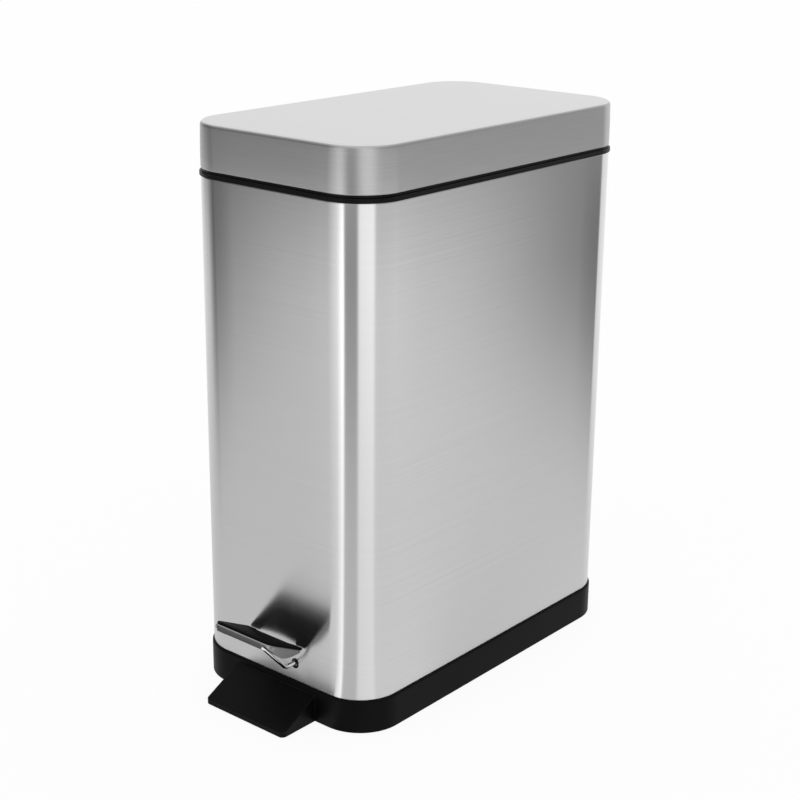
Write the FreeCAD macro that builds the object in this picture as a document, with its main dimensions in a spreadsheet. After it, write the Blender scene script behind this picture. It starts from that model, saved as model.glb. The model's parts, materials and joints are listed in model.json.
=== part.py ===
import FreeCAD, Part
import Sketcher
import math
import os

# A slim step-on waste bin: steel sleeve and lid, plastic base and rim, and a pedal that lifts the lid.
# Millimetres and degrees. The floor is z = 0, the pedal faces -Y, and the sheet below drives every piece.
sizes = {
    "body_width": 163,
    "body_depth": 284,
    "corner_radius": 31.5,
    "sheet_metal": 0.6,
    "sleeve_height": 339.6,
    "overcut": 1,               # how far a cutting shape runs past what it cuts
    "fit": 0.15,                # moulding inside steel
    "slide_gap": 0.3,           # pieces that move past each other
    "running_gap": 0.05,        # radial, round a turning pin
    "link_gap": 0.12,           # each side of a pin in its slot
    "base_height": 24.4,
    "base_overhang": 1.3,
    "base_wall": 2.2,
    "base_rise": 33.6,          # plug above the skirt
    "base_floor": 2.4,
    "base_lip": 16,
    "base_lip_height": 2.5,
    "skirt_round": 1.1,
    "floor_gap": 0.8,
    "foot_diameter": 12,
    "foot_height": 1.8,
    "foot_inset": 8,
    "tongue_width": 75,
    "tongue_reach": 33,
    "tongue_front": 3,
    "tongue_rear": 20,
    "tongue_corner": 3.5,
    "tongue_wall": 2,
    "tongue_round": 0.9,
    "bead_overhang": 1,
    "bead_height": 2.8,
    "bead_round": 0.8,
    "collar_wall": 2,
    "collar_depth": 32,
    "ledge_drop": 20,           # sleeve top to the ledge that carries the bucket
    "ledge_height": 3,
    "rivet_diameter": 4,
    "rivet_head": 7,
    "rivet_head_height": 1.2,
    "rivet_inset": 6,           # rivet to the start of the rear corner
    "collar_rivet_drop": 12,
    "base_rivet_rise": 18,
    "lid_gap": 0.3,
    "lip_height": 1.4,
    "lip_inset": 0.4,
    "lid_height": 31.5,
    "lid_round": 3,
    "liner_wall": 1.8,
    "liner_panel": 1.6,
    "buffer_length": 12,
    "buffer_width": 1.4,
    "buffer_sink": 0.8,
    "buffer_gap": 0.1,
    "buffer_spread": 150,
    "hinge_offset": 6.5,        # hinge axis behind the rear face
    "hinge_rise": 2.3,          # and above the sleeve
    "hinge_pin_diameter": 4,
    "knuckle_radius": 4.5,
    "knuckle_length": 10,
    "knuckle_place": 18,
    "lid_opening": 78,
    "plate_metal": 2.5,         # cranks
    "link_pin_diameter": 4,
    "link_head_diameter": 6.4,
    "link_head_height": 1.2,
    "crank_edge": 4.2,          # crank metal round a pin
    "crank_flange": 1.8,
    "crank_flange_width": 24,
    "crank_flange_height": 15,
    "crank_flange_rise": 2.4,
    "screw_diameter": 3,
    "screw_head": 5.6,
    "screw_head_height": 1.8,
    "screw_spread": 16,
    "screw_bite": 1.6,
    "rod_diameter": 3.2,
    "rod_place": 5.5,
    "rod_bend": 3.5,
    "rod_tail": 4.5,
    "rod_seat": 4,
    "head_width": 5.6,
    "head_edge": 2.2,
    "head_foot": 5,
    "clip_diameter": 6.4,
    "clip_height": 1.2,
    "bell_lower_arm": 13,
    "bell_rear_arm": 35.5,
    "bell_axle_diameter": 5,
    "bell_hub_radius": 4.8,
    "bell_arm_radius": 5,
    "bell_rib": 3,
    "bell_rib_place": 10,
    "bell_rib_reach": 7,
    "bar_metal": 2.5,
    "bar_height": 13.5,
    "bar_edge": 3,              # bar beyond the end of its slot
    "guide_width": 10.5,
    "guide_thickness": 3,
    "guide_spread": 90,
    "guide_foot": 3,
    "arm_diameter": 3.2,
    "arm_place": 18,
    "arm_height": 38.5,
    "arm_reach": 9.5,
    "arm_bend": 5,
    "arm_tail": 6,
    "arm_span": 40,
    "bush_wall": 0.5,
    "bush_lip": 0.5,
    "bush_lip_height": 0.4,
    "axle_diameter": 4,
    "axle_length": 78,
    "axle_lug": 6,
    "axle_lug_depth": 10,
    "axle_lug_drop": 5,
    "window_margin": 2.5,
    "window_drop": 21,
    "window_rise": 9,
    "pedal_crank_arm": 18,
    "pedal_crank_lean": 8,
    "pedal_crank_setback": 2.8,
    "pedal_swing": 29.4,
    "pedal_tilt": 26.8,
    "pedal_front": 34,
    "pedal_height": 67.2,
    "pedal_width": 54,
    "pedal_length": 35,
    "pedal_corner": 6.5,
    "pedal_metal": 1,
    "pedal_skirt_front": 4.4,
    "pedal_skirt_side": 8,
    "tread_height": 1.6,
    "tread_inset": 0.6,
    "tread_scoop": 37,
    "tread_scoop_depth": 1.6,
    "bucket_gap": 1.6,          # rim to the collar wall
    "bucket_rim": 6,
    "bucket_rim_height": 2.5,
    "bucket_wall": 1.8,
    "bucket_floor": 2,
    "bucket_taper": 5,
    "bucket_floor_gap": 1.5,
    "bucket_opening_gap": 1.2,
    "rod_bay": 17,              # free depth behind the bucket
    "bail_diameter": 3.5,
    "bail_inset": 0.5,
    "bail_corner": 22,
    "bail_bend": 2.6,
    "bail_tail": 1,
    "bail_ear": 3,
    "bail_ear_length": 9,
    "bail_ear_height": 6.2,
    "bail_play": 0.1,
}

doc = FreeCAD.newDocument("step_bin")
sheet = doc.addObject("Spreadsheet::Sheet", "Dims")
for row, (name, size) in enumerate(sizes.items(), start=1):
    sheet.set(f"A{row}", name)
    sheet.set(f"B{row}", str(size))
    sheet.setAlias(f"B{row}", name)
doc.recompute()

nodes = []


def value(formula):
    result = sheet.evalExpression(formula)
    return float(getattr(result, "Value", result))


# Building blocks, each bound to formulas over the sheet

def box(name, x, y, z):
    block = doc.addObject("Part::Box", name)
    for side, axis, (low, high) in zip(("Length", "Width", "Height"), "xyz", (x, y, z)):
        block.setExpression(side, f"({high}) - ({low})")
        block.setExpression(f"Placement.Base.{axis}", low)
    return block


def cylinder(name, radius, axis, centre, low, high):
    turns = {
        "x": FreeCAD.Rotation(FreeCAD.Vector(0, 1, 0), 90),
        "y": FreeCAD.Rotation(FreeCAD.Vector(1, 0, 0), -90),
        "z": FreeCAD.Rotation(),
    }
    disc = doc.addObject("Part::Cylinder", name)
    disc.Placement = FreeCAD.Placement(FreeCAD.Vector(), turns[axis])
    disc.setExpression("Radius", radius)
    disc.setExpression("Height", f"({high}) - ({low})")
    across = iter(centre)
    for direction in "xyz":
        place = low if direction == axis else next(across)
        disc.setExpression(f"Placement.Base.{direction}", place)
    return disc


def fuse(name, *shapes):
    joined = doc.addObject("Part::MultiFuse", name)
    joined.Shapes = shapes
    joined.Refine = True
    return joined


def group(name, *shapes):
    gathered = doc.addObject("Part::Compound", name)
    gathered.Links = shapes
    return gathered


def cut(name, base, *tools):
    tool = tools[0]
    if len(tools) > 1:
        tool = fuse(name + "_tools", *tools)
    result = doc.addObject("Part::Cut", name)
    result.Base = base
    result.Tool = tool
    return result


def common(name, *shapes):
    result = doc.addObject("Part::MultiCommon", name)
    result.Shapes = shapes
    return result


def stadium(name, start, end, radius, low, high, axis="x"):
    """A plate with round ends from start to end, (y, z) across axis x or (x, z) across axis y."""
    along = f"(({end[0]}) - ({start[0]}))"
    up = f"(({end[1]}) - ({start[1]}))"
    length = f"sqrt({along} ^ 2 + {up} ^ 2)"
    heel = cylinder(name + "_heel", radius, axis, start, low, high)
    toe = cylinder(name + "_toe", radius, axis, end, low, high)
    web = doc.addObject("Part::Box", name + "_web")
    turn = FreeCAD.Vector(1, 0, 0) if axis == "x" else FreeCAD.Vector(0, -1, 0)
    web.Placement = FreeCAD.Placement(FreeCAD.Vector(), FreeCAD.Rotation(turn, 1))
    web.setExpression("Placement.Rotation.Angle", f"atan2({up}; {along})")
    thick, run, across = ("Length", "Width", "y") if axis == "x" else ("Width", "Length", "x")
    web.setExpression(thick, f"({high}) - ({low})")
    web.setExpression(run, length)
    web.setExpression("Height", f"2 * ({radius})")
    web.setExpression(f"Placement.Base.{axis}", low)
    web.setExpression(f"Placement.Base.{across}", f"{start[0]} + ({radius}) * {up} / {length}")
    web.setExpression("Placement.Base.z", f"{start[1]} - ({radius}) * {along} / {length}")
    return fuse(name, heel, toe, web)


def rounded_sketch(body, name, width, depth, radius, level, mid):
    sketch = body.newObject("Sketcher::SketchObject", name)
    plane = next(item for item in body.Origin.OriginFeatures if item.Role == "XY_Plane")
    sketch.AttachmentSupport = (plane, [""])
    sketch.MapMode = "FlatFace"
    sketch.setExpression("AttachmentOffset.Base.y", mid)
    sketch.setExpression("AttachmentOffset.Base.z", level)
    right = value(width) / 2
    back = value(depth) / 2
    bend = value(radius)
    corners = [(1, -1), (1, 1), (-1, 1), (-1, -1)]
    ends = [((-1, -1), (1, -1)), ((1, -1), (1, 1)), ((1, 1), (-1, 1)), ((-1, 1), (-1, -1))]
    for index, ends_of_side in enumerate(ends):
        level_side = index % 2 == 0
        pair = []
        for sign_x, sign_y in ends_of_side:
            x = sign_x * (right - bend if level_side else right)
            y = sign_y * (back if level_side else back - bend)
            pair.append(FreeCAD.Vector(x, y, 0))
        sketch.addGeometry(Part.LineSegment(*pair))
    quarter = math.pi / 2
    for index, (sign_x, sign_y) in enumerate(corners):
        centre = FreeCAD.Vector(sign_x * (right - bend), sign_y * (back - bend), 0)
        circle = Part.Circle(centre, FreeCAD.Vector(0, 0, 1), bend)
        sketch.addGeometry(Part.ArcOfCircle(circle, (index - 1) * quarter, index * quarter))
    for side in range(4):
        sketch.addConstraint(Sketcher.Constraint("Tangent", side, 2, side + 4, 1))
        sketch.addConstraint(Sketcher.Constraint("Tangent", side + 4, 2, (side + 1) % 4, 1))
        sketch.addConstraint(Sketcher.Constraint("Horizontal" if side % 2 == 0 else "Vertical", side))
    for corner in (5, 6, 7):
        sketch.addConstraint(Sketcher.Constraint("Equal", 4, corner))
    sketch.addConstraint(Sketcher.Constraint("Symmetric", 4, 3, 6, 3, -1, 1))
    measures = {
        "width": (Sketcher.Constraint("DistanceX", 3, 1, 1, 1, 2 * right), width),
        "depth": (Sketcher.Constraint("DistanceY", 0, 1, 2, 1, 2 * back), depth),
        "radius": (Sketcher.Constraint("Radius", 4, bend), radius),
    }
    for label, (constraint, formula) in measures.items():
        index = sketch.addConstraint(constraint)
        sketch.renameConstraint(index, label)
        sketch.setExpression(f"Constraints.{label}", formula)
    return sketch


def slab(name, width, depth, radius, low, high, mid="0", top_round=None):
    """A rounded rectangle padded from low to high, with its upper edge rounded if asked."""
    body = doc.addObject("PartDesign::Body", name)
    sketch = rounded_sketch(body, name + "_outline", width, depth, radius, low, mid)
    pad = body.newObject("PartDesign::Pad", name + "_pad")
    pad.Profile = sketch
    pad.setExpression("Length", f"({high}) - ({low})")
    doc.recompute()
    if top_round:
        top = pad.Shape.BoundBox.ZMax
        edges = []
        for index, edge in enumerate(pad.Shape.Edges, start=1):
            if abs(edge.BoundBox.ZMin - top) < 1e-6:
                edges.append(f"Edge{index}")
        fillet = body.newObject("PartDesign::Fillet", name + "_round")
        fillet.Base = (pad, edges)
        fillet.setExpression("Radius", top_round)
    return body


def outline_slab(name, inset, low, high, top_round=None):
    """A slab that keeps to the body's outline, moved in by inset."""
    width = f"Dims.body_width - 2 * ({inset})"
    depth = f"Dims.body_depth - 2 * ({inset})"
    radius = f"Dims.corner_radius - ({inset})"
    return slab(name, width, depth, radius, low, high, top_round=top_round)


def bent_rod(name, points, bends, diameter):
    """A round rod along straight runs joined by tangent arcs."""
    corners = [FreeCAD.Vector(*(value(place) for place in point)) for point in points]
    edges = []
    start = corners[0]
    for before, corner, after, bend in zip(corners, corners[1:], corners[2:], bends):
        back = (before - corner).normalize()
        ahead = (after - corner).normalize()
        half = back.getAngle(ahead) / 2
        radius = value(bend)
        reach = radius / math.tan(half)
        middle = (back + ahead).normalize()
        crown = radius / math.sin(half) - radius
        first = corner + back * reach
        last = corner + ahead * reach
        edges.append(Part.LineSegment(start, first).toShape())
        edges.append(Part.Arc(first, corner + middle * crown, last).toShape())
        start = last
    edges.append(Part.LineSegment(start, corners[-1]).toShape())
    path = Part.Wire(edges)
    circle = Part.Circle(corners[0], corners[1] - corners[0], value(diameter) / 2)
    section = Part.Wire([circle.toShape()])
    rod = doc.addObject("Part::Feature", name)
    rod.Shape = path.makePipeShell([section], True, False)
    return rod


def node(thing):
    """Keep a finished piece, moved so that the frame sits under the middle of the whole bin."""
    thing.setExpression("Placement.Base.y", frame_shift)
    nodes.append(thing)
    return thing


def mirrored(low, high):
    """The same range on both sides of the middle."""
    return [(low, high), (f"-({high})", f"-({low})")]


# Levels and faces that several pieces share

front = "(-Dims.body_depth / 2)"
rear = "(Dims.body_depth / 2)"
base_top = "Dims.base_height"
plug_top = "(Dims.base_height + Dims.base_rise)"
ceiling = f"({plug_top} - Dims.base_floor)"
rib_top = f"({plug_top} - Dims.base_floor / 2)"
lip_top = "(Dims.floor_gap + Dims.base_lip_height)"
sleeve_top = "(Dims.base_height + Dims.sleeve_height)"
bead_top = f"({sleeve_top} + Dims.bead_height)"
ledge_top = f"({sleeve_top} - Dims.ledge_drop)"
lip_low = f"({bead_top} + Dims.lid_gap)"
lid_low = f"({lip_low} + Dims.lip_height)"
lid_top = f"({lid_low} + Dims.lid_height)"
inside = "(Dims.sheet_metal + Dims.fit)"
collar_inside = f"({inside} + Dims.collar_wall)"
liner_inside = f"({inside} + Dims.liner_wall)"
hinge_y = f"({rear} + Dims.hinge_offset)"
hinge_z = f"({sleeve_top} + Dims.hinge_rise)"
hinge_axis = (hinge_y, hinge_z)
pedal_reach = "(Dims.pedal_front + Dims.pedal_skirt_front * sin(Dims.pedal_tilt))"
frame_shift = f"({pedal_reach} - Dims.hinge_offset - Dims.knuckle_radius) / 2"

# Linkage. The pedal crank pushes the drive bar back, the bell crank turns that into a lift,
# and every link is level or upright at mid travel except the pedal crank, which leans from the wall.

axle_y = f"({front} + Dims.sheet_metal + Dims.slide_gap + Dims.axle_diameter / 2)"
axle_z = "(Dims.arm_height - Dims.arm_diameter / 2 - Dims.axle_diameter / 2)"
lean_end = "(Dims.pedal_crank_lean + Dims.pedal_swing)"
lean_mid = "(Dims.pedal_crank_lean + Dims.pedal_swing / 2)"
sine_sum = f"(sin({lean_end}) + sin(Dims.pedal_crank_lean))"
bar_travel = f"(Dims.pedal_crank_arm * (sin({lean_end}) - sin(Dims.pedal_crank_lean)))"
bar_drift = f"(Dims.pedal_crank_arm * (sin({lean_mid}) - {sine_sum} / 2))"
pedal_pin_y = f"({axle_y} + Dims.pedal_crank_arm * sin(Dims.pedal_crank_lean))"
pedal_pin_z = f"({axle_z} - Dims.pedal_crank_arm * cos(Dims.pedal_crank_lean))"
pedal_pin_end_z = f"({axle_z} - Dims.pedal_crank_arm * cos({lean_end}))"
bar_z = f"(({pedal_pin_z} + {pedal_pin_end_z}) / 2)"
bell_half = f"asin({bar_travel} / 2 / Dims.bell_lower_arm)"
bell_drift = f"(Dims.bell_rear_arm * (tan({bell_half}) / 2 - tan({bell_half} / 2)))"
rod_travel = f"(2 * Dims.bell_rear_arm * tan({bell_half}))"
lid_half = "(Dims.lid_opening / 2)"
lid_arm = f"({rod_travel} / 2 / sin({lid_half}))"
lid_drift = f"({lid_arm} * (sin({lid_half} / 2) - sin({lid_half}) / 2))"
lid_pin_y = f"({hinge_y} - {lid_arm} * cos({lid_half}))"
lid_pin_z = f"({hinge_z} - {lid_arm} * sin({lid_half}))"
rod_y = f"({hinge_y} - {lid_arm} * (1 + cos({lid_half})) / 2)"
bell_y = f"({rod_y} - Dims.bell_rear_arm)"
bell_z = f"({bar_z} + Dims.bell_lower_arm * (1 + cos({bell_half})) / 2)"
bell_pin_y = f"({bell_y} - Dims.bell_lower_arm * sin({bell_half}))"
bell_pin_z = f"({bell_z} - Dims.bell_lower_arm * cos({bell_half}))"
rod_low = f"({bell_z} - Dims.bell_rear_arm * tan({bell_half}))"
pin_radius = "(Dims.link_pin_diameter / 2)"
plate_side = "(Dims.plate_metal / 2)"
bar_near = f"({plate_side} + Dims.slide_gap)"
bar_far = f"({bar_near} + Dims.bar_metal)"
head_near = "(Dims.rod_place - Dims.head_width / 2)"
head_far = "(Dims.rod_place + Dims.head_width / 2)"
head_slot = f"({pin_radius} + {lid_drift} + Dims.link_gap)"
head_low = f"({lid_pin_z} - {head_slot} - Dims.head_foot)"
rod_radius = "(Dims.rod_diameter / 2)"
axle_radius = "(Dims.axle_diameter / 2)"

# Pedal wall slot: how far the arm sinks in the wall as the pedal goes down

arm_radius = "(Dims.arm_diameter / 2)"
arm_over = f"({arm_radius} + {axle_radius})"
wall_lead = "(Dims.sheet_metal + Dims.slide_gap + Dims.axle_diameter / 2 + Dims.bush_lip_height)"
arm_end_z = (f"(({arm_over} * sin(Dims.pedal_swing) - {wall_lead}) * tan(Dims.pedal_swing)"
             f" + {arm_over} * cos(Dims.pedal_swing))")
arm_sink = f"({arm_over} - {arm_end_z} + {arm_radius} * (1 / cos(Dims.pedal_swing) - 1))"
slot_low = f"(Dims.arm_height - {arm_sink})"
slot_radius = f"({arm_radius} + Dims.slide_gap)"
bush_radius = f"({slot_radius} + Dims.bush_wall)"


def wall_slot(name, radius, low, high):
    ends = (("Dims.arm_place", "Dims.arm_height"), ("Dims.arm_place", slot_low))
    return stadium(name, ends[1], ends[0], radius, low, high, axis="y")


def rivet_places(height):
    reach = "(Dims.body_width / 2 - Dims.corner_radius - Dims.rivet_inset)"
    return [(f"{side} * {reach}", height) for side in (1, -1)]


def rivets(name, height, wall):
    """Two rivets through the rear of the sleeve and a moulding's wall."""
    pieces = []
    for index, place in enumerate(rivet_places(height)):
        inner = f"{rear} - {inside} - {wall}"
        shank = cylinder(f"{name}_shank{index}", "Dims.rivet_diameter / 2", "y", place, inner, rear)
        head_end = f"{rear} + Dims.rivet_head_height"
        head = cylinder(f"{name}_head{index}", "Dims.rivet_head / 2", "y", place, rear, head_end)
        pieces.append(fuse(f"{name}_{index}", shank, head))
    return node(group(name, *pieces))


def rivet_holes(name, height, wall):
    inner = f"{rear} - {inside} - {wall} - Dims.fit"
    outer = f"{rear} + Dims.fit"
    holes = []
    for index, place in enumerate(rivet_places(height)):
        holes.append(cylinder(f"{name}{index}", "Dims.rivet_diameter / 2", "y", place, inner, outer))
    return holes


collar_rivet_z = f"({sleeve_top} - Dims.collar_rivet_drop)"
base_rivet_z = f"({base_top} + Dims.base_rivet_rise)"

# Sleeve: bent sheet with rounded corners, open at both ends

sleeve_outer = outline_slab("sleeve_outer", "0", base_top, sleeve_top)
sleeve_inner = outline_slab("sleeve_inner", "Dims.sheet_metal", f"{base_top} - Dims.overcut",
                            f"{sleeve_top} + Dims.overcut")
arm_hole = wall_slot("sleeve_arm_hole", bush_radius, f"{front} - Dims.overcut",
                     f"{front} + Dims.sheet_metal + Dims.overcut")
sleeve_holes = rivet_holes("sleeve_collar_hole", collar_rivet_z, "0")
sleeve_holes += rivet_holes("sleeve_base_hole", base_rivet_z, "0")
node(cut("body_sleeve", sleeve_outer, sleeve_inner, arm_hole, *sleeve_holes))

# Bush in the front wall round the pedal arm

bush_end = f"{front} + Dims.sheet_metal"
bush_lip_end = f"{front} - Dims.bush_lip_height"
bush_tube = wall_slot("bush_tube", bush_radius, front, bush_end)
bush_flange = wall_slot("bush_flange", f"{bush_radius} + Dims.bush_lip", bush_lip_end, front)
bush_bore = wall_slot("bush_bore", slot_radius, f"{bush_lip_end} - Dims.overcut",
                      f"{bush_end} + Dims.overcut")
node(cut("pedal_bush", fuse("bush_solid", bush_tube, bush_flange), bush_bore))

# Base: skirt, plug inside the sleeve and front tongue, hollow from below

tongue_y = f"({front} - Dims.tongue_reach)"
skirt_face = f"({front} - Dims.base_overhang)"


def wedge(name, half_width, y, front_z, rear_z):
    """A block whose lower and upper faces run straight from front_z to rear_z."""
    block = doc.addObject("Part::Wedge", name)
    limits = {
        "Xmin": f"-({half_width})", "Xmax": half_width, "X2min": f"-({half_width})", "X2max": half_width,
        "Ymin": y[0], "Ymax": y[1],
        "Zmin": front_z[0], "Zmax": front_z[1], "Z2min": rear_z[0], "Z2max": rear_z[1],
    }
    for limit, formula in limits.items():
        block.setExpression(limit, formula)
    return block


tongue_end = f"{front} + Dims.fit"
tongue_block = wedge("tongue_block", "Dims.tongue_width / 2", (tongue_y, tongue_end),
                     ("Dims.floor_gap", "Dims.floor_gap + Dims.tongue_front"),
                     ("Dims.floor_gap", "Dims.floor_gap + Dims.tongue_rear"))
tongue_depth = "(2 * Dims.tongue_reach)"
tongue_plan = slab("tongue_plan", "Dims.tongue_width", tongue_depth, "Dims.tongue_corner",
                   "0", "Dims.base_height", mid=f"{tongue_y} + {tongue_depth} / 2")
tongue_slope = "atan2(Dims.tongue_rear - Dims.tongue_front; Dims.tongue_reach + Dims.fit)"
tongue_crown = slab("tongue_crown", "Dims.tongue_width", "4 * Dims.tongue_reach", "Dims.tongue_corner",
                    "-2 * Dims.base_height", "0", top_round="Dims.tongue_round")
tongue_crown.Placement = FreeCAD.Placement(FreeCAD.Vector(), FreeCAD.Rotation(FreeCAD.Vector(1, 0, 0), 1))
tongue_crown.setExpression("Placement.Rotation.Angle", tongue_slope)
tongue_crown.setExpression("Placement.Base.y", tongue_y)
tongue_crown.setExpression("Placement.Base.z", "Dims.floor_gap + Dims.tongue_front")
tongue = common("tongue", tongue_block, tongue_plan, tongue_crown)
tongue_hollow = wedge("tongue_hollow", "Dims.tongue_width / 2 - Dims.tongue_wall",
                      (f"{tongue_y} + Dims.tongue_wall", skirt_face),
                      ("0", "Dims.floor_gap + Dims.tongue_front - Dims.tongue_wall"),
                      ("0", "Dims.floor_gap + Dims.tongue_rear - Dims.tongue_wall"))
skirt = outline_slab("skirt", "-Dims.base_overhang", "Dims.floor_gap", base_top, "Dims.skirt_round")
plug = outline_slab("plug", inside, "Dims.floor_gap", plug_top)
skirt_inside = "(Dims.base_wall - Dims.base_overhang)"
skirt_cavity = outline_slab("skirt_cavity", skirt_inside, lip_top, f"{base_top} - Dims.base_wall")
plug_cavity = outline_slab("plug_cavity", f"{inside} + Dims.base_wall", lip_top, ceiling)
underside = outline_slab("underside", "Dims.base_lip", "0", lip_top)
window_half = "(Dims.axle_length / 2 + Dims.axle_lug / 2 + Dims.window_margin)"
window_x = (f"-{window_half}", window_half)
window_back = f"{front} + {inside} + Dims.base_wall + Dims.fit"
low_window = box("low_window", window_x, (f"{front} + {skirt_inside}", window_back),
                 (f"{axle_z} - Dims.window_drop", base_top))
high_window = box("high_window", window_x, (f"{front} + Dims.sheet_metal", window_back),
                  (base_top, f"{axle_z} + Dims.window_rise"))
foot_reach = "(Dims.corner_radius - Dims.foot_inset) / sqrt(2)"
foot_x = f"(Dims.body_width / 2 - Dims.corner_radius + {foot_reach})"
foot_y = f"(Dims.body_depth / 2 - Dims.corner_radius + {foot_reach})"
feet = []
foot_seats = []
for index, (sign_x, sign_y) in enumerate([(1, 1), (1, -1), (-1, 1), (-1, -1)]):
    place = (f"{sign_x} * {foot_x}", f"{sign_y} * {foot_y}")
    feet.append(cylinder(f"foot{index}", "Dims.foot_diameter / 2", "z", place, "0", "Dims.foot_height"))
    seat_radius = "Dims.foot_diameter / 2 + Dims.running_gap"
    foot_seats.append(cylinder(f"foot_seat{index}", seat_radius, "z", place, "0", "Dims.foot_height"))
node(group("base_feet", *feet))
rod_hole = cylinder("base_rod_hole", f"{rod_radius} + Dims.slide_gap", "z", ("Dims.rod_place", rod_y),
                    f"{ceiling} - Dims.overcut", f"{plug_top} + Dims.overcut")
base_holes = rivet_holes("base_hole", base_rivet_z, "Dims.base_wall")
base_shell = cut("base_shell", fuse("base_solid", skirt, plug, tongue), tongue_hollow, skirt_cavity,
                 plug_cavity, underside, low_window, high_window, rod_hole, *foot_seats, *base_holes)

# Ribs under the base's floor carry the pedal axle, the bell crank and the drive bar

ribs = []
lug_low = f"{axle_z} - Dims.axle_lug_drop"
lug_y = (f"{front} + {inside}", f"{front} + {inside} + Dims.axle_lug_depth")
lug_range = ("Dims.axle_length / 2 - Dims.axle_lug / 2", "Dims.axle_length / 2 + Dims.axle_lug / 2")
for index, span in enumerate(mirrored(*lug_range)):
    ribs.append(box(f"axle_lug{index}", span, lug_y, (lug_low, rib_top)))
bell_rib_y = (f"{bell_y} - Dims.bell_rib_reach", f"{bell_y} + Dims.bell_rib_reach")
bell_rib_z = (f"{bell_z} - Dims.bell_rib_reach", rib_top)
for index, span in enumerate(mirrored("Dims.bell_rib_place", "Dims.bell_rib_place + Dims.bell_rib")):
    ribs.append(box(f"bell_rib{index}", span, bell_rib_y, bell_rib_z))
bar_mid = f"(({bar_near} + {bar_far}) / 2)"
bar_low = f"({bar_z} - Dims.bar_height / 2)"
bar_high = f"({bar_z} + Dims.bar_height / 2)"
guide_x = (f"{bar_mid} - Dims.guide_width / 2", f"{bar_mid} + Dims.guide_width / 2")
guide_z = (f"{bar_low} - Dims.slide_gap - Dims.guide_foot", rib_top)
for index, side in enumerate((-1, 1)):
    middle = f"{side} * Dims.guide_spread / 2"
    guide_y = (f"{middle} - Dims.guide_thickness / 2", f"{middle} + Dims.guide_thickness / 2")
    ribs.append(box(f"bar_guide{index}", guide_x, guide_y, guide_z))
bore_radius = f"({axle_radius} + Dims.running_gap)"
axle_notch_z = (f"{axle_z} - {bore_radius}", f"{axle_z} + {bore_radius}")
notch_half = "(Dims.axle_length / 2 + Dims.slide_gap)"
axle_bore = cylinder("axle_bore", bore_radius, "x", (axle_y, axle_z), f"-{notch_half}", notch_half)
axle_notch = box("axle_notch", (f"-{notch_half}", notch_half), (front, axle_y), axle_notch_z)
bell_axle_half = "(Dims.bell_rib_place + Dims.bell_rib)"
bell_bore = cylinder("bell_bore", "Dims.bell_axle_diameter / 2", "x", (bell_y, bell_z),
                     f"-{bell_axle_half}", bell_axle_half)
bar_passage = box("bar_passage", (f"{bar_near} - Dims.slide_gap", f"{bar_far} + Dims.slide_gap"),
                  ("-Dims.guide_spread", "Dims.guide_spread"),
                  (f"{bar_low} - Dims.slide_gap", f"{bar_high} + Dims.slide_gap"))
rib_block = cut("rib_block", group("rib_group", *ribs), axle_bore, axle_notch, bell_bore, bar_passage)
node(fuse("base_moulding", base_shell, rib_block))
rivets("base_rivets", base_rivet_z, "Dims.base_wall")
node(group("bell_crank_axle", cylinder("bell_axle", "Dims.bell_axle_diameter / 2", "x", (bell_y, bell_z),
                                       f"-{bell_axle_half}", bell_axle_half)))

# Bucket, whose rim hangs on the collar's ledge

rim_half_x = f"(Dims.body_width / 2 - {collar_inside} - Dims.bucket_gap)"
rim_front = f"({front} + {collar_inside} + Dims.bucket_gap)"
rim_rear = f"({rear} - {collar_inside} - Dims.rod_bay)"
rim_mid = f"(({rim_front} + {rim_rear}) / 2)"
rim_width = f"(2 * {rim_half_x})"
rim_depth = f"({rim_rear} - {rim_front})"
rim_radius = f"(Dims.corner_radius - {collar_inside} - Dims.bucket_gap)"
rim_low = f"({ledge_top} + Dims.slide_gap)"
rim_top = f"({rim_low} + Dims.bucket_rim_height)"
bucket_low = f"({plug_top} + Dims.bucket_floor_gap)"


def tapered(name, inset, low, high):
    """The bucket's outline, moved in by inset and narrower at its foot."""
    body = doc.addObject("PartDesign::Body", name)
    foot_inset = f"({inset}) + Dims.bucket_taper"
    sketches = []
    for label, step, level in (("foot", foot_inset, low), ("mouth", inset, high)):
        sketches.append(rounded_sketch(body, f"{name}_{label}", f"{rim_width} - 2 * ({step})",
                                       f"{rim_depth} - 2 * ({step})", f"{rim_radius} - ({step})",
                                       level, rim_mid))
    loft = body.newObject("PartDesign::AdditiveLoft", name + "_loft")
    loft.Profile = sketches[0]
    loft.Sections = sketches[1:]
    loft.Ruled = True
    doc.recompute()
    return body


bucket_rim = slab("bucket_rim_plate", rim_width, rim_depth, rim_radius, rim_low, rim_top, rim_mid)
bucket_outer = tapered("bucket_outer", "Dims.bucket_rim", bucket_low, rim_top)
bucket_inner = tapered("bucket_inner", "Dims.bucket_rim + Dims.bucket_wall",
                       f"{bucket_low} + Dims.bucket_floor", f"{rim_top} + Dims.overcut")
bail_radius = "(Dims.bail_diameter / 2)"
bail_z = f"({rim_top} + Dims.slide_gap + {bail_radius})"
ear_near = f"({rim_half_x} - Dims.bucket_rim - Dims.bucket_wall)"
ear_far = f"({ear_near} + Dims.bail_ear)"
ear_y = (f"{rim_mid} - Dims.bail_ear_length / 2", f"{rim_mid} + Dims.bail_ear_length / 2")
bail_ears = []
for index, span in enumerate(mirrored(ear_near, ear_far)):
    bail_ears.append(box(f"bail_ear{index}", span, ear_y, (rim_low, f"{rim_top} + Dims.bail_ear_height")))
bail_bore = cylinder("bail_bore", f"{bail_radius} + Dims.bail_play", "x", (rim_mid, bail_z),
                     f"-{ear_far} - Dims.overcut", f"{ear_far} + Dims.overcut")
bucket_shell = cut("bucket_shell", fuse("bucket_solid", bucket_rim, bucket_outer), bucket_inner)
node(cut("inner_bucket", fuse("bucket_with_ears", bucket_shell, *bail_ears), bail_bore))

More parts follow.
